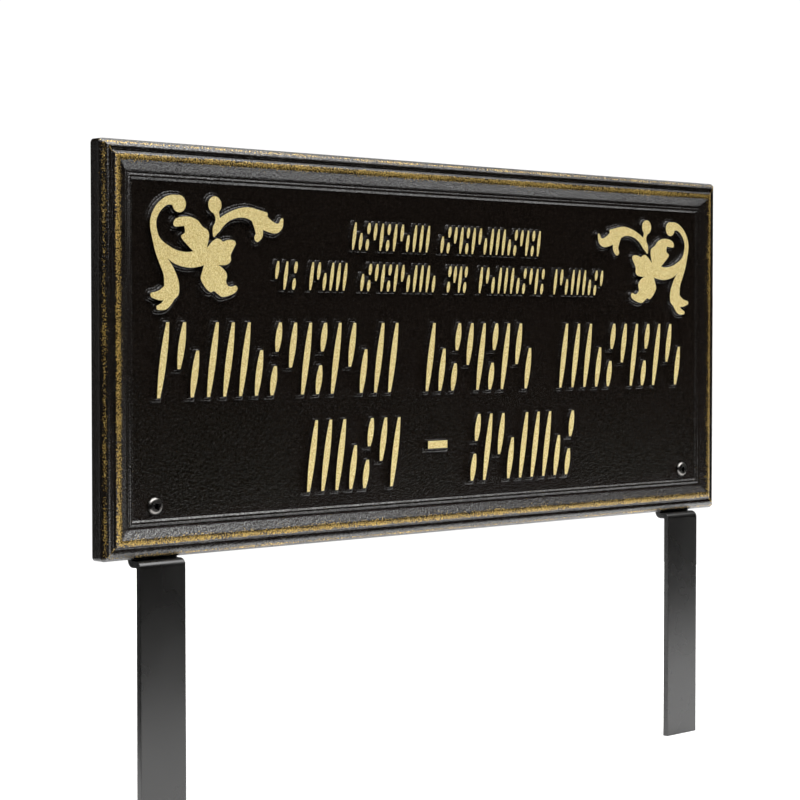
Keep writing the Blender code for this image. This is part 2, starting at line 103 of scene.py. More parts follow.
def pick(piece, kind, test):
    # In edit mode, only the faces or edges that pass the test are selected
    bm = bmesh.from_edit_mesh(piece.data)
    selectMode(kind)
    bpy.ops.mesh.select_all(action="DESELECT")
    for part in bm.faces if kind == "FACE" else bm.edges:
        if test(part):
            part.select = True
    bm.select_flush_mode()
    bmesh.update_edit_mesh(piece.data)


def facesFront(face):
    return face.normal.y < -0.9


def facesBack(face):
    return face.normal.y > 0.9


def insetFace(thickness, depth):
    bpy.ops.mesh.inset(thickness=thickness, depth=depth, use_boundary=True, use_even_offset=True)


def applyPlace():
    bpy.ops.object.transform_apply(location=True, rotation=True, scale=True)


def addBox(name, low, high):
    deselectAll()
    bpy.ops.mesh.primitive_cube_add(size=1, location=(Vector(low) + Vector(high)) / 2)
    box = startPiece(name)
    box.scale = Vector(high) - Vector(low)
    applyPlace()
    return box


def addRod(name, x, z, radius, front, back, sides=32):
    deselectAll()
    bpy.ops.mesh.primitive_cylinder_add(vertices=sides, radius=radius, depth=back - front,
                                        location=(x, (front + back) / 2, z),
                                        rotation=(math.pi / 2, 0, 0))
    rod = startPiece(name)
    applyPlace()
    return rod


def applyModifiers(piece):
    selectOnly(piece)
    for modifier in list(piece.modifiers):
        bpy.ops.object.modifier_apply(modifier=modifier.name)


def cutAway(piece, cutter):
    cut = piece.modifiers.new("cut", "BOOLEAN")
    cut.operation = "DIFFERENCE"
    cut.solver = "EXACT"
    cut.object = cutter
    applyModifiers(piece)
    bpy.data.objects.remove(cutter)


def roundedEdges(piece, width, degrees):
    bevel = piece.modifiers.new("edges", "BEVEL")
    bevel.width = width
    bevel.segments = 2
    bevel.limit_method = "ANGLE"
    bevel.angle_limit = math.radians(degrees)
    applyModifiers(piece)


def smoothUnder(piece, degrees):
    selectOnly(piece)
    bpy.ops.object.shade_smooth_by_angle(angle=math.radians(degrees))
    # The large flat faces decide the shading, so that they look flat up to their rounded edges
    weighted = piece.modifiers.new("normals", "WEIGHTED_NORMAL")
    weighted.keep_sharp = True
    applyModifiers(piece)


def smoothCurve(points, closed, steps):
    # A Catmull-Rom curve through the points; those that end in "corner" keep a sharp corner
    count = len(points)
    drawn = [Vector(p[:-1] if p[-1] == "corner" else p) for p in points]
    sharp = [p[-1] == "corner" for p in points]
    curve = []
    for i in range(count if closed else count - 1):
        a, b = drawn[i], drawn[(i + 1) % count]
        before = drawn[i - 1] if (closed or i) and not sharp[i] else a
        after = drawn[(i + 2) % count] if closed or i + 2 < count else b
        if sharp[(i + 1) % count]:
            after = b
        for step in range(steps):
            t = step / steps
            curve.append(0.5 * (2 * a + (b - before) * t
                                + (2 * before - 5 * a + 4 * b - after) * t * t
                                + (3 * a - before - 3 * b + after) * t ** 3))
    if not closed:
        curve.append(drawn[-1])
    return curve


# Casting: a box whose front face is inset step by step into the moulding

casting = {
    "cornerRadius": 2.0 * mm,
    "cornerSegments": 6,
    "mitreFront": 0.6 * mm,  # rounded corners turn sharp this far short of their radius
    "mitreBack": 0.3 * mm,
    "mitreReach": 1.2 * mm,  # points this near a sharp corner are drawn into it
    "rimWidth": 5.0 * mm,
    "pocketDraft": 0.6 * mm,
    "fieldThickness": 2.6 * mm,
    "fieldDrop": 0.4 * mm,
    "profileSteps": 3,
    "notchRoom": 1.2 * mm,
    "notchPastRim": 1.2 * mm,
    "screwHole": 2.35 * mm,
    "smoothAngle": 32,
}
# Inset from the side and rise in front of the outer arris, in millimetres
mouldingProfile = [
    (0.00, -1.30), (0.20, -1.00), (0.50, -0.60), (0.80, -0.22), (1.10, 0.10), (1.40, 0.36),
    (1.80, 0.65), (2.30, 0.98), (2.80, 1.27), (3.20, 1.43), (3.60, 1.50), (4.00, 1.48),
    (4.40, 1.37), (4.80, 1.24), (5.15, 1.20), (5.40, 1.32), (5.65, 1.63), (5.95, 1.96),
    (6.40, 2.25), (6.95, 2.43), (7.55, 2.55), (8.10, 2.60), (8.65, 2.55), (9.20, 2.32),
    (9.80, 2.02), (10.50, 1.65), (11.20, 1.27), (11.90, 0.90), (12.60, 0.53), (13.20, 0.24),
    (13.75, 0.03), (14.20, -0.06), (14.50, -0.04), (14.75, 0.18), (15.00, 0.36), (15.40, 0.48),
    (15.85, 0.46), (16.30, 0.28), (16.70, -0.02), (17.10, -0.40),
]
leastFieldArea = 0.05  # square metres; only the plate's large front and back faces exceed it
fieldFront = plateBack - casting["fieldThickness"]
arrisFront = fieldFront - casting["fieldDrop"]
fieldInset = mouldingProfile[-1][0] * mm
fieldHalfWidth = plaqueWidth / 2 - fieldInset
fieldHalfHeight = plaqueHeight / 2 - fieldInset


def atLevel(face, level, room=sameLevel):
    return abs(face.calc_center_median().y - level) < room


def mitreCorners(plate, inset):
    # What is left of each rounded corner becomes one sharp corner
    bm = bmesh.from_edit_mesh(plate.data)
    face = next(f for f in bm.faces if f.select)
    level = face.calc_center_median().y
    for sideX in (-1, 1):
        for sideZ in (-1, 1):
            corner = Vector((sideX * (plaqueWidth / 2 - inset), level,
                             plaqueMiddle + sideZ * (plaqueHeight / 2 - inset)))
            near = [v for v in bm.verts if (v.co - corner).length < casting["mitreReach"]
                    and abs(v.co.y - level) < sameLevel and face in v.link_faces]
            bmesh.ops.pointmerge(bm, verts=near, merge_co=corner)
            face = max((f for f in bm.faces if atLevel(f, level)), key=lambda f: f.calc_area())
    bmesh.update_edit_mesh(plate.data)
    pick(plate, "FACE", lambda f: f.calc_area() > leastFieldArea and atLevel(f, level))


def mouldedPlate():
    radius = casting["cornerRadius"]
    profile = smoothCurve(mouldingProfile, False, casting["profileSteps"])
    front = arrisFront - profile[0].y * mm
    plate = addBox("casting", (plaqueLow.x, front, plaqueLow.z),
                   (plaqueHigh.x, rimBack, plaqueHigh.z))
    editOnly(plate)
    pick(plate, "EDGE", lambda e: abs(e.verts[0].co.y - e.verts[1].co.y) > mm)
    bpy.ops.mesh.bevel(offset=radius, segments=casting["cornerSegments"], affect="EDGES")
    pick(plate, "FACE", facesFront)
    merged = False
    for a, b in zip(profile, profile[1:]):
        insetFace((b.x - a.x) * mm, (b.y - a.y) * mm)
        if not merged and b.x * mm >= radius - casting["mitreFront"]:
            merged = True
            mitreCorners(plate, b.x * mm)
    pick(plate, "FACE", facesBack)
    insetFace(radius - casting["mitreBack"], 0)
    mitreCorners(plate, radius - casting["mitreBack"])
    insetFace(casting["rimWidth"] - radius + casting["mitreBack"], 0)
    insetFace(casting["pocketDraft"], plateBack - rimBack)
    doneEditing()
    return plate


def drillAndNotch(plate):
    halfNotch = (stakeHigh.x - stakeLow.x + casting["notchRoom"]) / 2
    notchTop = plaqueLow.z + casting["rimWidth"] + casting["notchPastRim"]
    for side in (-1, 1):
        cutAway(plate, addBox(
            "notch", (side * stakeX - halfNotch, plateBack, plaqueLow.z - cutterReach),
            (side * stakeX + halfNotch, rimBack + cutterReach, notchTop)))
        cutAway(plate, addRod("drill", side * screwX, screwZ, casting["screwHole"],
                              fieldFront - cutterReach, plateBack + cutterReach))


# Raised work: ornaments and rows of strokes, as outlines on the field about the plaque's middle

ornament = {
    "height": 51.5 * mm,
    "fromSide": 57.85 * mm,
    "fromTop": 50.0 * mm,
    "curveSteps": 5,
    "capSteps": 9,
}
# Drawn for the left side about the flower's heart; 51.5 grid units make the ornament's height
gridUnits = 51.5
scroll = [(-15.8, 23.3, 3.4), (-19.4, 24.5, 2.3), (-23.4, 23.8, 1.75), (-27.8, 20.4, 1.65),
          (-30.4, 15.2, 1.65), (-29.8, 9.6, 1.75), (-27.6, 5.6, 1.9), (-23.6, 2.5, 2.3),
          (-17.9, -0.6, 3.0), (-11.0, -1.8, 3.4), (-5.0, -1.0, 3.7), (0.0, 0.5, 3.6)]
bulb = (-15.9, 23.0, 3.8)
stem = [(-30.0, 9.0, 1.4), (-27.8, 2.9, 1.9), (-24.9, -2.4, 2.5), (-21.9, -7.2, 3.2),
        (-20.4, -12.0, 4.05), (-20.2, -15.4, 4.2)]
leafTips = [
    [(-20.4, -15.2, 3.6), (-25.6, -17.5, 2.5), (-28.6, -17.9, 1.75), (-31.0, -17.7, 1.1)],
    [(-20.6, -15.6, 3.7), (-21.9, -19.4, 2.6), (-24.4, -22.3, 1.9), (-27.8, -23.2, 1.0)],
    [(-19.6, -14.0, 3.7), (-17.8, -16.6, 1.6)],
]
petals = [
    [(-9.6, 3.5, "corner"), (-14.7, 8.2), (-12.6, 10.3), (-13.0, 13.3, "corner"),
     (-18.3, 12.9), (-19.0, 14.7), (-17.4, 16.4), (-13.6, 17.3), (-9.0, 17.2), (-5.0, 15.7),
     (-2.6, 13.3), (0.4, 11.7), (1.2, 9.4), (0.6, 6.2), (-0.4, 3.0, "corner"),
     (-3.0, -1.5, "corner")],
    [(-0.4, 3.0, "corner"), (2.6, 6.2), (5.6, 8.0), (8.0, 7.7), (9.5, 6.8), (12.2, 7.6),
     (15.6, 7.6), (16.9, 6.2), (15.3, 3.4), (13.9, 0.9), (14.0, -1.5), (12.4, -3.1),
     (9.4, -3.7), (4.6, -3.6, "corner"), (-1.0, -3.4, "corner")],
    [(-1.4, -3.4, "corner"), (-2.6, -6.6), (-3.6, -9.8), (-2.4, -12.2), (-0.4, -14.5),
     (2.1, -16.0), (4.0, -15.5), (6.4, -16.9), (9.0, -18.1), (13.0, -17.4), (16.5, -16.0),
     (17.9, -14.2), (16.8, -12.9), (14.6, -13.5), (12.4, -13.1), (11.1, -11.2), (11.7, -8.4),
     (10.4, -6.2), (7.6, -4.3), (4.6, -3.5, "corner"), (1.5, -1.0, "corner")],
]
berry = (4.7, 23.3, 3.8)
berryStalk = [(5.0, 21.0, 1.8), (6.3, 17.6, 1.2), (6.2, 13.6, 1.7)]
frond = [(4.2, 9.6, 0.7), (5.6, 12.6, 2.1), (8.6, 15.6, 2.0), (12.8, 18.2, 1.75),
         (18.2, 20.0, 1.95), (24.0, 20.4, 2.5), (29.2, 19.0, 3.2), (33.2, 16.8, 3.5),
         (37.4, 14.8, 2.8), (41.0, 13.9, 2.3), (43.8, 15.0, 1.6), (45.0, 17.8, 0.8)]
frondSpur = [(29.2, 19.2, 3.2), (35.2, 20.1, 1.0)]
frondLobe = [(29.2, 17.4, 2.6), (30.7, 13.4, 2.3), (31.0, 10.8, 2.15), (29.9, 9.1, 1.75)]

strokes = {
    "lean": math.radians(9),
    "taper": 0.58,
    "pointsPerSide": 9,
    "split": 0.40,
    "short": 0.62,
    "rowShift": 3,  # how far along kindOrder each row starts after the row above
}
# Heights are shares of the field's half height, and group ends shares of its half width
smallStroke = {"height": 0.174, "half": 1.05 * mm, "pitch": 4.6 * mm, "spread": 0.55}
largeStroke = {"height": 0.447, "half": 1.85 * mm, "pitch": 9.2 * mm, "spread": 1.0}
strokeRows = [
    (0.632, smallStroke, [(-0.347, -0.075), (-0.043, 0.337)]),
    (0.370, smallStroke, [(-0.596, -0.518), (-0.486, -0.357), (-0.319, -0.053),
                          (-0.020, 0.060), (0.096, 0.352), (0.382, 0.589)]),
    (-0.283, largeStroke, [(-0.944, -0.183), (-0.098, 0.313), (0.404, 0.935)]),
    (-0.897, largeStroke, [(-0.496, -0.176), (0.065, 0.473)]),
]
strokeKinds = {
    "whole": [(0, 1)],
    "split": [(0, strokes["split"]), (1 - strokes["split"], strokes["split"])],
    "low": [(0, strokes["short"])],
    "high": [(1 - strokes["short"], strokes["short"])],
}
kindOrder = ["whole", "low", "split", "high", "whole", "split", "whole", "high", "low",
             "whole", "whole"]
dash = {"place": (-0.050, -0.641), "length": 13.5 * mm, "height": 3.6 * mm}

relief = {
    "joinRoom": 0.01 * mm,  # outline points this near one another become one
    "leastStep": 0.06 * mm,  # shorter steps are left out of an outline
    "fieldRoom": 0.001 * mm,  # the same for points of the filled field
    "weld": 0.004 * mm,
    "levelRoom": 0.05 * mm,  # faces this near the field's depth are taken out
    "widestHole": 20 * mm,  # a rim narrower than this is a screw's hole
}
# The relief's flank: how far out from the top's edge, and how far down, in millimetres
reliefFlank = [(0.00, 0.00), (0.10, 0.12), (0.32, 1.00), (0.55, 1.62), (0.80, 1.80),
               (1.35, 1.80), (1.60, 1.86), (1.95, 2.03), (2.25, 2.10)]
reliefHeight = reliefFlank[-1][1] * mm


def bandOutline(points, grow):
    spine = smoothCurve(points, False, ornament["curveSteps"])
    left, right = [], []
    for i, p in enumerate(spine):
        ahead = spine[min(i + 1, len(spine) - 1)].xy - spine[max(i - 1, 0)].xy
        side = Vector((-ahead.y, ahead.x)).normalized() * (p.z + grow)
        left.append(p.xy + side)
        right.append(p.xy - side)
    outline = list(right)
    for end, edge in ((spine[-1], right[-1]), (spine[0], left[0])):
        arm = edge - end.xy
        for step in range(1, ornament["capSteps"]):
            angle = math.pi * step / ornament["capSteps"]
            outline.append(end.xy + Vector((arm.x * math.cos(angle) - arm.y * math.sin(angle),
                                            arm.x * math.sin(angle) + arm.y * math.cos(angle))))
        if end is spine[-1]:
            outline += reversed(left)
    return outline


def signedArea(outline):
    return sum(a.x * b.y - b.x * a.y for a, b in zip(outline, outline[1:] + outline[:1])) / 2


def grownOutline(outline, grow):
    sign = 1 if signedArea(outline) > 0 else -1
    grown = []
    for i, p in enumerate(outline):
        along = (outline[(i + 1) % len(outline)] - outline[i - 1]).normalized()
        grown.append(p + Vector((along.y, -along.x)) * sign * grow)
    return grown


def disc(x, z, radius, sides=28):
    return [Vector((x + radius * math.cos(2 * math.pi * i / sides),
                    z + radius * math.sin(2 * math.pi * i / sides))) for i in range(sides)]


def ornamentOutlines(grow):
    unit = ornament["height"] / gridUnits
    inUnits = grow / unit
    outlines = [bandOutline(band, inUnits) for band in (scroll, stem, *leafTips, berryStalk, frond,
                                                        frondSpur, frondLobe)]
    outlines += [disc(x, z, radius + inUnits) for x, z, radius in (bulb, berry)]
    for petal in petals:
        edge = smoothCurve(petal, True, ornament["curveSteps"])
        outlines.append(edge)
        if grow:
            outlines.append(grownOutline(edge, inUnits))
    heart = Vector((ornament["fromSide"] - plaqueWidth / 2, plaqueHeight / 2 - ornament["fromTop"]))
    return [[heart + p * unit for p in outline] for outline in outlines]


def mirrored(outlines):
    return [[Vector((-p.x, p.y)) for p in reversed(outline)] for outline in outlines]


def strokeOutline(x, foot, height, half, grow):
    lean = math.tan(strokes["lean"])
    middle = foot + height / 2
    count = strokes["pointsPerSide"]
    outline = []
    for side in (1, -1):
        for i in range(count):
            t = side * (2 * i / (count - 1) - 1)
            z = middle + t * (height / 2 + grow)
            width = half * (1 - strokes["taper"] * t * t) + grow
            outline.append(Vector((x + (z - middle) * lean + side * width, z)))
    return outline


def rowOutlines(rowNumber, grow):
    footShare, sizes, groups = strokeRows[rowNumber]
    foot = footShare * fieldHalfHeight
    height = sizes["height"] * fieldHalfHeight
    lean = math.tan(strokes["lean"])
    reach = lean * height / 2 + sizes["half"]
    grow = grow * sizes["spread"]
    place = strokes["rowShift"] * rowNumber
    outlines = []
    for left, right in groups:
        first = left * fieldHalfWidth + reach
        span = (right - left) * fieldHalfWidth - 2 * reach
        count = max(2, round(span / sizes["pitch"]) + 1)
        for i in range(count):
            x = first + span * i / (count - 1)
            for low, share in strokeKinds[kindOrder[place % len(kindOrder)]]:
                shift = lean * height * (low + share / 2 - 0.5)
                outlines.append(strokeOutline(x + shift, foot + low * height, share * height,
                                              sizes["half"], grow))
            place += 1
    return outlines


def dashOutline(grow):
    middle = Vector((dash["place"][0] * fieldHalfWidth, dash["place"][1] * fieldHalfHeight))
    half = Vector((dash["length"] / 2 + grow, dash["height"] / 2 + grow))
    return [middle + half * Vector(corner) for corner in ((-1, -1), (1, -1), (1, 1), (-1, 1))]


def outlineGroups(grow):
    # Groups that stand apart from one another, so that each is joined by itself
    left = ornamentOutlines(grow)
    rows = [rowOutlines(i, grow) for i in range(len(strokeRows))]
    return [left, mirrored(left), *rows, [dashOutline(grow)]]


# Joining outlines into the edge of their common area, and filling the field between all the edges

def ringEdges(loops):
    points, edges = [], []
    for loop in loops:
        first = len(points)
        points += loop
        edges += [(first + i, first + (i + 1) % len(loop)) for i in range(len(loop))]
    return points, edges


def turnsRound(point, outline):
    turns = 0
    for a, b in zip(outline, outline[1:] + outline[:1]):
        if (a.y <= point.y) != (b.y <= point.y):
            across = (b.x - a.x) * (point.y - a.y) - (point.x - a.x) * (b.y - a.y)
            if (across > 0) == (b.y > a.y):
                turns += 1 if b.y > a.y else -1
    return turns


def withBox(outlines):
    return [(o, min(p.x for p in o), max(p.x for p in o), min(p.y for p in o), max(p.y for p in o))
            for o in outlines]


def insideAny(point, boxed):
    return any(x0 <= point.x <= x1 and z0 <= point.y <= z1 and turnsRound(point, outline)
               for outline, x0, x1, z0, z1 in boxed)


def thinned(loop, least):
    kept = [loop[0]]
    for p in loop[1:]:
        if (p - kept[-1]).length > least:
            kept.append(p)
    if (kept[0] - kept[-1]).length <= least:
        kept.pop()
    return kept


def joinedEdges(outlines):
    points, edges = ringEdges(outlines)
    flat, _, faces, _, _, _ = delaunay_2d_cdt(points, edges, [], 0, relief["joinRoom"])
    boxed = withBox(outlines)
    sides = set()
    for face in faces:
        centre = sum((flat[v] for v in face), Vector((0, 0))) / len(face)
        if insideAny(centre, boxed):
            sides.update(zip(face, face[1:] + face[:1]))
    onward = {}
    for a, b in sides:
        if (b, a) not in sides:
            onward.setdefault(a, []).append(b)
    loops = []
    while onward:
        start = min(onward)
        loop = [start]
        while True:
            ends = sorted(onward[loop[-1]])
            ahead = ends.pop()
            if ends:
                onward[loop[-1]] = ends
            else:
                del onward[loop[-1]]
            if ahead == start:
                break
            loop.append(ahead)
        if len(loop) > 2:
            loops.append(thinned([flat[v].copy() for v in loop], relief["leastStep"]))
    return [loop for loop in loops if len(loop) > 2]


def reliefLoops():
    # Every contour of the raised work, each with the depth at which it lies
    loops = []
    for out, down in reliefFlank:
        depth = fieldFront - reliefHeight + down * mm
        for group in outlineGroups(out * mm):
            loops += [(loop, depth) for loop in joinedEdges(group)]
    return loops


def openRims(bm):
    # Each ring of points round an opening in the plate, in order
    onward = {}
    for edge in bm.edges:
        if len(edge.link_faces) == 1:
            a, b = edge.verts
            onward.setdefault(a, []).append(b)
            onward.setdefault(b, []).append(a)
    rims = []
    left = dict.fromkeys(onward)
    while left:
        rim = [next(iter(left))]
        del left[rim[0]]
        while True:
            ahead = [v for v in onward[rim[-1]] if v in left]
            if not ahead:
                break
            del left[ahead[0]]
            rim.append(ahead[0])
        rims.append(rim)
    return rims


def contourDepths(loops, faces, origin):
    # The depth of each point of the filled field, from the contour that it came from
    depths = [depth for loop, depth in loops for _ in loop]
    deep = [depths[sources[0]] if sources else None for sources in origin]
    for v, sources in enumerate(origin):
        if not sources:
            # Two contours cross here, so the point lies midway between its neighbours
            near = [depths[origin[w][0]] for face in faces if v in face
                    for w in face if origin[w]]
            deep[v] = sum(near) / len(near)
    return deep


def fieldWithRelief(plate):
    # The flat field of the plate is taken out, and filled again with the raised work in it
    editOnly(plate)
    pick(plate, "FACE", lambda f: facesFront(f) and atLevel(f, fieldFront, relief["levelRoom"])
         and abs(f.calc_center_median().x) < fieldHalfWidth)
    bpy.ops.mesh.delete(type="FACE")
    bm = bmesh.from_edit_mesh(plate.data)
    loops = [([Vector((v.co.x, v.co.z - plaqueMiddle)) for v in rim], fieldFront)
             for rim in openRims(bm)]
    holes = withBox([loop for loop, _ in loops
                     if max(p.x for p in loop) - min(p.x for p in loop) < relief["widestHole"]])
    loops += reliefLoops()
    points, edges = ringEdges([loop for loop, _ in loops])
    flat, _, faces, origin, _, _ = delaunay_2d_cdt(points, edges, [], 0, relief["fieldRoom"])
    deep = contourDepths(loops, faces, origin)
    made = {}
    for face in faces:
        centre = sum((flat[v] for v in face), Vector((0, 0))) / len(face)
        if insideAny(centre, holes):
            continue
        for v in face:
            if v not in made:
                made[v] = bm.verts.new((flat[v].x, deep[v], flat[v].y + plaqueMiddle))
        bm.faces.new([made[v] for v in face])
    bmesh.update_edit_mesh(plate.data)
    selectMode("VERT")
    bpy.ops.mesh.select_all(action="SELECT")
    bpy.ops.mesh.remove_doubles(threshold=relief["weld"])
    bpy.ops.mesh.normals_make_consistent(inside=False)
    doneEditing()


plaque = mouldedPlate()
print("moulded plate:", len(plaque.data.vertices), "vertices")
drillAndNotch(plaque)
fieldWithRelief(plaque)
smoothUnder(plaque, casting["smoothAngle"])
print("raised work:", len(plaque.data.vertices), "vertices,", len(plaque.data.polygons), "faces")


# Stakes: a bar drawn up from the ground, bent back under the plaque and up behind it

stake = {
    "bendRadius": 1.9 * mm,
    "underGap": 0.8 * mm,
    "bendSegments": 12,
    "tabCorner": 3.0 * mm,
    "tabSegments": 6,
    "edgeRound": 0.30 * mm,
    "edgeAngle": 40,
    "screwHole": 2.35 * mm,
    "drillReach": 6 * mm,
    "weld": 0.002 * mm,
    "smoothAngle": 35,
}


def drawOn(y, z):
    bpy.ops.mesh.extrude_region_move(TRANSFORM_OT_translate={"value": (0, y, z)})


def bendOn(angle, y, z):
    bpy.ops.mesh.spin(steps=stake["bendSegments"], angle=angle, center=(0, y, z), axis=(1, 0, 0))


def topCorner(edge):
    a, b = (v.co for v in edge.verts)
    return (abs(a.z - stakeHigh.z) < samePlace and abs(b.z - stakeHigh.z) < samePlace
            and abs(a.x - b.x) < samePlace)


def bentBar(name):
    bendRadius = stake["bendRadius"]
    runZ = plaqueLow.z - stake["underGap"] - barThickness / 2
    deselectAll()
    bpy.ops.mesh.primitive_plane_add(size=1, location=(0, 0, 0))
    bar = startPiece(name)
    bar.scale = (stakeHigh.x - stakeLow.x, barThickness, 1)
    bar.location.x = stakeX
    applyPlace()
    editOnly(bar)
    selectMode("FACE")
    bpy.ops.mesh.select_all(action="SELECT")
    drawOn(0, runZ - bendRadius)
    bendOn(math.pi / 2, bendRadius, runZ - bendRadius)
    drawOn(joggle - 2 * bendRadius, 0)
    bendOn(-math.pi / 2, joggle - bendRadius, runZ + bendRadius)
    drawOn(0, stakeHigh.z - runZ - bendRadius)
    bpy.ops.mesh.select_all(action="SELECT")
    bpy.ops.mesh.remove_doubles(threshold=stake["weld"])
    bpy.ops.mesh.normals_make_consistent(inside=False)
    pick(bar, "EDGE", topCorner)
    bpy.ops.mesh.bevel(offset=stake["tabCorner"], segments=stake["tabSegments"], affect="EDGES")
    doneEditing()
    return bar


def mirroredCopy(piece, name):
    twin = piece.copy()
    twin.data = piece.data.copy()
    bpy.context.scene.collection.objects.link(twin)
    twin.name = twin.data.name = name
    for v in twin.data.vertices:
        v.co.x = -v.co.x
    twin.data.flip_normals()
    return twin


stakeRight = bentBar("stakeRight")
cutAway(stakeRight, addRod("drill", screwX, screwZ, stake["screwHole"],
                           joggle - stake["drillReach"], joggle + stake["drillReach"]))
roundedEdges(stakeRight, stake["edgeRound"], stake["edgeAngle"])
stakeLeft = mirroredCopy(stakeRight, "stakeLeft")
smoothUnder(stakeRight, stake["smoothAngle"])
smoothUnder(stakeLeft, stake["smoothAngle"])
print("stakes:", len(stakeRight.data.vertices), "vertices each")


# Screws: a domed button head with a six sided socket, on a shank that ends level with the tab

screw = {
    "sides": 48,
    "headRadius": 3.95 * mm,
    "headHeight": 1.5 * mm,
    "flatRadius": 2.2 * mm,
    "domeSteps": 9,
    "shankRadius": 2.05 * mm,
    "socketAcross": 2.6 * mm,
    "socketDepth": 1.4 * mm,
    "socketStart": 2 * mm,  # the socket's cutter starts this far in front of the head
    "headStart": 0.05 * mm,
    "edgeRound": 0.12 * mm,
    "edgeAngle": 50,
    "smoothAngle": 35,
    "turns": {"screwLeft": math.radians(8), "screwRight": math.radians(24)},
}
headBack = fieldFront - fitGap


def buttonScrew(name, x, turn):
    radius, height, start = screw["headRadius"], screw["headHeight"], screw["headStart"]
    body = addRod(name, x, screwZ, radius, headBack - start, headBack, screw["sides"])
    editOnly(body)
    pick(body, "FACE", facesFront)
    last = (radius, start)
    for step in range(1, screw["domeSteps"] + 1):
        angle = math.pi / 2 * step / screw["domeSteps"]
        ring = (screw["flatRadius"] + (radius - screw["flatRadius"]) * math.cos(angle),
                start + (height - start) * math.sin(angle))
        insetFace(last[0] - ring[0], ring[1] - last[1])
        last = ring
    pick(body, "FACE", facesBack)
    insetFace(radius - screw["shankRadius"], 0)
    drawOn(tabBack - headBack, 0)
    doneEditing()
    socket = addRod("socket", 0, 0, screw["socketAcross"] / math.sqrt(3),
                    headBack - height - screw["socketStart"],
                    headBack - height + screw["socketDepth"], 6)
    editOnly(socket)
    bpy.ops.mesh.select_all(action="SELECT")
    bpy.ops.transform.rotate(value=turn, orient_axis="Y", center_override=(0, 0, 0))
    bpy.ops.transform.translate(value=(x, 0, screwZ))
    doneEditing()
    cutAway(body, socket)
    roundedEdges(body, screw["edgeRound"], screw["edgeAngle"])
    smoothUnder(body, screw["smoothAngle"])
    return body


screwLeft = buttonScrew("screwLeft", -screwX, screw["turns"]["screwLeft"])
screwRight = buttonScrew("screwRight", screwX, screw["turns"]["screwRight"])
print("screws:", len(screwRight.data.vertices), "vertices each")


# Finishes

class Shader:
    # A short way to add nodes and join them
    def __init__(self, name):
        self.material = bpy.data.materials.new(name)
        self.material.use_nodes = True
        self.tree = self.material.node_tree
        self.surface = self.tree.nodes["Principled BSDF"]
        self.place = self.add("ShaderNodeTexCoord").outputs["Object"]

    def add(self, kind, **settings):
        node = self.tree.nodes.new(kind)
        for key, value in settings.items():
            setattr(node, key, value)
        return node

    def join(self, source, target):
        self.tree.links.new(source, target)

    def feed(self, value, socket):
        if isinstance(value, bpy.types.NodeSocket):
            self.join(value, socket)
        else:
            socket.default_value = value

    def math(self, operation, *values, clamp=False):
        node = self.add("ShaderNodeMath", operation=operation, use_clamp=clamp)
        for socket, value in zip(node.inputs, values):
            self.feed(value, socket)
        return node.outputs[0]

    def noise(self, scale, detail, roughness):
        node = self.add("ShaderNodeTexNoise")
        for name, number in (("Scale", scale), ("Detail", detail), ("Roughness", roughness)):
            node.inputs[name].default_value = number
        self.join(self.place, node.inputs["Vector"])
        return node.outputs["Fac"]

    def between(self, value, low, high, toLow=0.0, toHigh=1.0):
        # Takes one range of numbers to another, and holds it at both ends
        node = self.add("ShaderNodeMapRange")
        self.feed(value, node.inputs["Value"])
        for name, number in (("From Min", low), ("From Max", high),
                             ("To Min", toLow), ("To Max", toHigh)):
            self.feed(number, node.inputs[name])
        return node.outputs[0]

    def blend(self, share, first, second):
        return self.between(share, 0, 1, first, second)

    def axes(self):
        split = self.add("ShaderNodeSeparateXYZ")
        self.join(self.place, split.inputs[0])
        return split.outputs

    def curve(self, value, points):
        node = self.add("ShaderNodeFloatCurve")
        line = node.mapping.curves[0]
        line.points[0].location = points[0]
        line.points[1].location = points[-1]
        for point in points[1:-1]:
            line.points.new(*point)
        node.mapping.update()
        self.feed(value, node.inputs["Value"])
        return node.outputs[0]

    def mix(self, share, first, second):
        node = self.add("ShaderNodeMix", data_type="RGBA")
        self.feed(share, node.inputs[0])
        for value, socket in ((first, node.inputs[6]), (second, node.inputs[7])):
            self.feed((*value, 1) if isinstance(value, tuple) else value, socket)
        return node.outputs[2]

    def bump(self, height, strength, distance, normal=None):
        node = self.add("ShaderNodeBump")
        node.inputs["Strength"].default_value = strength
        node.inputs["Distance"].default_value = distance
        self.join(height, node.inputs["Height"])
        if normal:
            self.join(normal, node.inputs["Normal"])
        return node.outputs[0]

    def finish(self, **surface):
        # Numbers and joined nodes for the surface, by the names of its sockets
        for name, value in surface.items():
            self.feed(value, self.surface.inputs[name.replace("_", " ")])
        return self.material


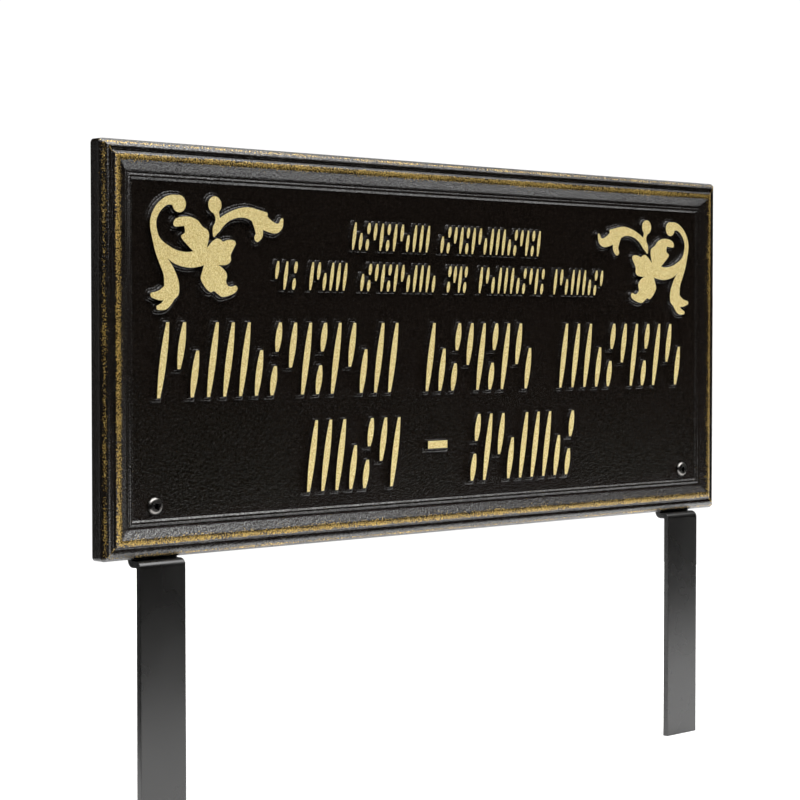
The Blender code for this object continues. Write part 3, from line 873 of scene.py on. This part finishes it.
castingFinish = {
    "black": (0.0022, 0.0013, 0.0008),
    "blackDust": (0.0130, 0.0098, 0.0075),
    "blackRoughness": 0.20,
    "reliefGold": ((0.60, 0.44, 0.14), (1.0, 0.86, 0.43)),
    "reliefRoughness": 0.5,
    "reliefMetal": 0.15,
    "rubbedGold": ((0.34, 0.18, 0.022), (1.0, 0.71, 0.20)),
    "rubbedRoughness": 0.34,
    "rubbedMetal": 0.68,
    "ior": 1.8,
    "frameShine": (0.12, 1.0),
    "fieldShine": (0.02, 0.50),
    "goldAmount": (1.35, -0.28),  # the share of gold is multiplied and shifted by these
    "patches": 0.9,
    "speckle": 3.4,
    "goldEdge": (0.40, 0.72),
    "mitreWidth": (0.2, 1.6),  # gold along a mitre ends between these, in millimetres
    "fieldPebbles": 0.8,
    "pebbles": (0.9, 0.30 * mm),  # strength and height
    "peel": (0.8, 0.12 * mm),
    # Ranges of a pattern over which a tone or shine goes from its first value to its second
    "reliefSparkle": (0.35, 0.65),
    "rubbedSparkle": (0.3, 0.7),
    "dustRange": (0.36, 0.66),
    "frameGrain": (0.34, 0.66),
    "fieldGrain": (0.36, 0.64),
    # Where a finish fades out and in
    "frontDepth": (2.7 * mm, 1.7 * mm),  # behind the arris
    "goldDepth": (0.10 * mm, 0.04 * mm),  # behind the relief's top
    "fieldStart": (17.2, 17.3),  # in from the edge, in millimetres
}
# Scale, detail and roughness of each pattern
castingPatterns = {
    "broad": (38, 3, 0.6),
    "fine": (1500, 3, 0.7),
    "sparkle": (1900, 2, 0.6),
    "grain": (1250, 3, 0.65),
    "pebbles": (1000, 3, 0.6),
    "peel": (2300, 2, 0.6),
}
# Gold left on the arris and the crest, and along the mitres, for each share of the frame's width
frameWidth = 17.0
goldAcross = [(0.0, 0.0), (0.03, 0.14), (0.06, 0.40), (0.09, 0.48), (0.12, 0.32), (0.17, 0.12),
              (0.22, 0.0), (0.32, 0.0), (0.35, 0.20), (0.385, 0.54), (0.43, 0.68),
              (0.49, 0.57), (0.54, 0.36), (0.59, 0.20), (0.66, 0.06), (1.0, 0.0)]
goldAlongMitre = [(0.0, 0.1), (0.08, 0.42), (0.42, 0.48), (0.55, 0.25), (0.75, 0.0), (1.0, 0.0)]
perMetre = 1000.0


def rubbedShare(shade, inset, offMitre, patterns):
    # Gold rubbed on the frame: most on the arris and the crest, in patches and specks
    inFrame = shade.math("DIVIDE", inset, frameWidth, clamp=True)
    nearMitre = shade.between(offMitre, *castingFinish["mitreWidth"], 1.0, 0.0)
    onMitre = shade.math("MULTIPLY", nearMitre, shade.curve(inFrame, goldAlongMitre))
    rubbed = shade.math("MAXIMUM", shade.curve(inFrame, goldAcross), onMitre)
    rubbed = shade.math("MULTIPLY_ADD", rubbed, *castingFinish["goldAmount"])
    for pattern, strength in ((patterns["broad"], castingFinish["patches"]),
                              (patterns["fine"], castingFinish["speckle"])):
        rubbed = shade.math("ADD", rubbed,
                            shade.math("MULTIPLY_ADD", pattern, strength, -strength / 2))
    return shade.between(rubbed, *castingFinish["goldEdge"])


def castingPaint():
    look = castingFinish
    shade = Shader("castBlackAndGold")
    patterns = {name: shade.noise(*numbers) for name, numbers in castingPatterns.items()}
    x, y, z = shade.axes()
    # Distance in from the nearer side and end of the plaque, in millimetres
    fromSide = shade.math("MULTIPLY_ADD", shade.math("ABSOLUTE", x), -perMetre,
                          plaqueWidth / 2 * perMetre)
    height = shade.math("ABSOLUTE", shade.math("SUBTRACT", z, plaqueMiddle))
    fromEdge = shade.math("MULTIPLY_ADD", height, -perMetre, plaqueHeight / 2 * perMetre)
    inset = shade.math("MINIMUM", fromSide, fromEdge)
    offMitre = shade.math("ABSOLUTE", shade.math("SUBTRACT", fromSide, fromEdge))
    # The frame's front is glossier and coarser than the field and the back
    onFront = shade.between(y, *(arrisFront + depth for depth in look["frontDepth"]))
    inField = shade.between(inset, *look["fieldStart"])
    onFrame = shade.math("MULTIPLY", onFront, shade.math("SUBTRACT", 1.0, inField))
    # The raised work is gold all over its top
    reliefTop = fieldFront - reliefHeight
    raised = shade.between(y, *(reliefTop + depth for depth in look["goldDepth"]))
    frameGold = shade.math("MULTIPLY", rubbedShare(shade, inset, offMitre, patterns), onFrame)
    gold = shade.math("ADD", frameGold, shade.math("MULTIPLY", raised, inField), clamp=True)
    sparkle = patterns["sparkle"]
    reliefTone = shade.mix(shade.between(sparkle, *look["reliefSparkle"]), *look["reliefGold"])
    rubbedTone = shade.mix(shade.between(sparkle, *look["rubbedSparkle"]), *look["rubbedGold"])
    goldTone = shade.mix(inField, rubbedTone, reliefTone)
    blackTone = shade.mix(shade.between(patterns["fine"], *look["dustRange"]), look["black"],
                          look["blackDust"])
    goldRoughness = shade.blend(inField, look["rubbedRoughness"], look["reliefRoughness"])
    goldMetal = shade.blend(inField, look["rubbedMetal"], look["reliefMetal"])
    frameShine = shade.between(patterns["grain"], *look["frameGrain"], *look["frameShine"])
    fieldShine = shade.between(patterns["grain"], *look["fieldGrain"], *look["fieldShine"])
    pebbles = shade.math("MULTIPLY", patterns["pebbles"],
                         shade.blend(onFrame, look["fieldPebbles"], 1.0))
    cast = shade.bump(pebbles, *look["pebbles"])
    cast = shade.bump(patterns["peel"], *look["peel"], cast)
    return shade.finish(
        Base_Color=shade.mix(gold, blackTone, goldTone),
        Roughness=shade.blend(gold, look["blackRoughness"], goldRoughness),
        Metallic=shade.blend(gold, 0.0, goldMetal),
        IOR=look["ior"],
        Specular_IOR_Level=shade.blend(onFrame, fieldShine, frameShine),
        Normal=cast)


patchRange = (0.3, 0.7)  # range of a pattern over which broad patches change tone

barFinish = {
    "black": ((0.0030, 0.0026, 0.0022), (0.0046, 0.0041, 0.0036)),
    "roughness": (0.25, 0.31),
    "shine": 0.9,
    "patches": (30, 3, 0.6),
    "peelPattern": (900, 2, 0.5),
    "peel": (0.12, 0.08 * mm),
}


def barPaint():
    look = barFinish
    shade = Shader("stakeBlack")
    patches = shade.noise(*look["patches"])
    return shade.finish(
        Base_Color=shade.mix(shade.between(patches, *patchRange), *look["black"]),
        Roughness=shade.between(patches, *patchRange, *look["roughness"]),
        Specular_IOR_Level=look["shine"],
        Normal=shade.bump(shade.noise(*look["peelPattern"]), *look["peel"]))


screwFinish = {
    "metal": ((0.19, 0.18, 0.17), (0.26, 0.25, 0.235)),
    # Painted shade: a near-black colour put in the socket, standing in for the shade inside it
    "socketPaintedShade": (0.006, 0.005, 0.004),
    # Where the painted shade in the socket fades out and in, across and from front to back
    "socketReach": (1.7 * mm, 1.6 * mm),
    "socketFront": (0.15 * mm, 0.40 * mm),
    "socketBack": (0.5 * mm, 0.4 * mm),
    "roughness": (0.24, 0.32),
    "patches": (300, 3, 0.6),
    "grainPattern": (1500, 2, 0.5),
    "grain": (0.1, 0.05 * mm),
}


def screwMetal():
    look = screwFinish
    shade = Shader("screwBlack")
    patches = shade.noise(*look["patches"])
    x, y, z = shade.axes()
    # The socket is darkened with painted shade, which stands in for the shade inside it
    headFront = headBack - screw["headHeight"]
    socketEnd = headFront + screw["socketDepth"]
    pastFront = shade.between(y, *(headFront + depth for depth in look["socketFront"]))
    beforeEnd = shade.between(y, *(socketEnd + depth for depth in look["socketBack"]))
    paintedShadeInSocket = shade.math("MULTIPLY", pastFront, beforeEnd)
    sideways = shade.math("ABSOLUTE", shade.math("SUBTRACT", shade.math("ABSOLUTE", x), screwX))
    upDown = shade.math("ABSOLUTE", shade.math("SUBTRACT", z, screwZ))
    for offAxis in (sideways, upDown):
        paintedShadeInSocket = shade.math("MULTIPLY", paintedShadeInSocket, shade.between(offAxis, *look["socketReach"]))
    metal = shade.mix(shade.between(patches, *patchRange), *look["metal"])
    return shade.finish(
        # The base colour is the metal, with painted shade in the socket
        Base_Color=shade.mix(paintedShadeInSocket, metal, look["socketPaintedShade"]),
        Metallic=1.0,
        Roughness=shade.between(patches, *patchRange, *look["roughness"]),
        Normal=shade.bump(shade.noise(*look["grainPattern"]), *look["grain"]))


floorFinish = {
    "paper": ((0.96, 0.96, 0.96), (0.98, 0.98, 0.98)),
    "roughness": 0.9,
    "patches": (3, 2, 0.5),
}


def floorPaper():
    look = floorFinish
    shade = Shader("floorPaper")
    patches = shade.between(shade.noise(*look["patches"]), *patchRange)
    return shade.finish(Base_Color=shade.mix(patches, *look["paper"]), Roughness=look["roughness"])


def giveFinish(piece, material):
    piece.data.materials.clear()
    piece.data.materials.append(material)


castingMaterial, barMaterial, screwMaterial = castingPaint(), barPaint(), screwMetal()
for piece, node, slotName, material in (
        (plaque, "plaque", "cast_black", castingMaterial),
        (stakeLeft, "stake_left", "stake_black", barMaterial),
        (stakeRight, "stake_right", "stake_black", barMaterial),
        (screwLeft, "screw_left", "screw_black", screwMaterial),
        (screwRight, "screw_right", "screw_black", screwMaterial)):
    giveFinish(piece, material)
    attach(piece, "root")
    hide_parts(node)
print("finishes done")


# Studio: a pale floor, soft lights, a sky that shines from the front, and the photograph's view

studio = {
    "floorLow": (-0.32, -0.275),
    "floorHigh": (0.90, 0.90),
    # Place, target, size and power of each light
    "lights": {
        "overhead": ((0.0, -0.5, 2.5), (0.0, -0.5, 0.0), (4.0, 4.0), 135.0),
        "fromRight": ((1.3, 0.75, 0.3), (0.1, 0.0, 0.2), (1.2, 1.3), 14.0),
        "behindLeft": ((-0.9, 0.8, 0.3), (-0.2, 0.0, 0.2), (0.8, 0.8), 0.35),
    },
    "skyLight": 3.0,
    "skyRise": (0.50, 0.74),  # the sky lights up between these heights
    "skyFront": (0.02, -0.34),  # and between these depths, towards the front
    "backdropWhite": 1.05,
    "cameraPlace": (-0.7904, -0.76795, 0.22585),
    "cameraTilt": 88.21,
    "cameraTurn": -44.49,
    "lens": 99.0,
    "sensor": 36,
}


def layFloor():
    deselectAll()
    low, high = Vector(studio["floorLow"]), Vector(studio["floorHigh"])
    bpy.ops.mesh.primitive_plane_add(size=1, location=((low + high) / 2).to_3d())
    floor = startPiece("floor")
    floor.scale = (high - low).to_3d() + Vector((0, 0, 1))
    applyPlace()
    giveFinish(floor, floorPaper())


def softLight(name, place, target, size, power):
    lamp = bpy.data.lights.new(name, "AREA")
    lamp.shape = "RECTANGLE"
    lamp.size, lamp.size_y = size
    lamp.energy = power
    light = bpy.data.objects.new(name, lamp)
    light.location = place
    light.rotation_euler = (Vector(target) - Vector(place)).to_track_quat("-Z", "Y").to_euler()
    bpy.context.scene.collection.objects.link(light)


def skyRamp(tree, source, low, high, top):
    ramp = tree.nodes.new("ShaderNodeMapRange")
    ramp.interpolation_type = "SMOOTHSTEP"
    for name, number in (("From Min", low), ("From Max", high), ("To Max", top)):
        ramp.inputs[name].default_value = number
    tree.links.new(source, ramp.inputs["Value"])
    return ramp.outputs[0]


def lightSky():
    # The camera sees plain white, and the light comes from the upper part of the sky in front only
    world = bpy.data.worlds.new("studio")
    bpy.context.scene.world = world
    world.use_nodes = True
    tree = world.node_tree
    toSky = tree.nodes.new("ShaderNodeTexCoord")
    direction = tree.nodes.new("ShaderNodeSeparateXYZ")
    tree.links.new(toSky.outputs["Generated"], direction.inputs[0])
    light = tree.nodes.new("ShaderNodeMath")
    light.operation = "MULTIPLY"
    rise = skyRamp(tree, direction.outputs["Z"], *studio["skyRise"], 1.0)
    front = skyRamp(tree, direction.outputs["Y"], *studio["skyFront"], studio["skyLight"])
    tree.links.new(rise, light.inputs[0])
    tree.links.new(front, light.inputs[1])
    rays = tree.nodes.new("ShaderNodeLightPath")
    shown = tree.nodes.new("ShaderNodeMix")
    shown.inputs["B"].default_value = studio["backdropWhite"]
    tree.links.new(light.outputs[0], shown.inputs["A"])
    tree.links.new(rays.outputs["Is Camera Ray"], shown.inputs["Factor"])
    backdrop = tree.nodes["Background"]
    backdrop.inputs["Color"].default_value = (1, 1, 1, 1)
    tree.links.new(shown.outputs[0], backdrop.inputs["Strength"])


def placeCamera():
    camera = bpy.data.objects.new("camera", bpy.data.cameras.new("camera"))
    camera.data.lens = studio["lens"]
    camera.data.sensor_width = studio["sensor"]
    camera.location = studio["cameraPlace"]
    camera.rotation_euler = (math.radians(studio["cameraTilt"]), 0,
                             math.radians(studio["cameraTurn"]))
    bpy.context.scene.collection.objects.link(camera)
    bpy.context.scene.camera = camera


layFloor()
for lightName, numbers in studio["lights"].items():
    softLight(lightName, *numbers)
lightSky()
placeCamera()
bpy.context.scene.view_settings.view_transform = "Standard"
print("studio done")

deselectAll()
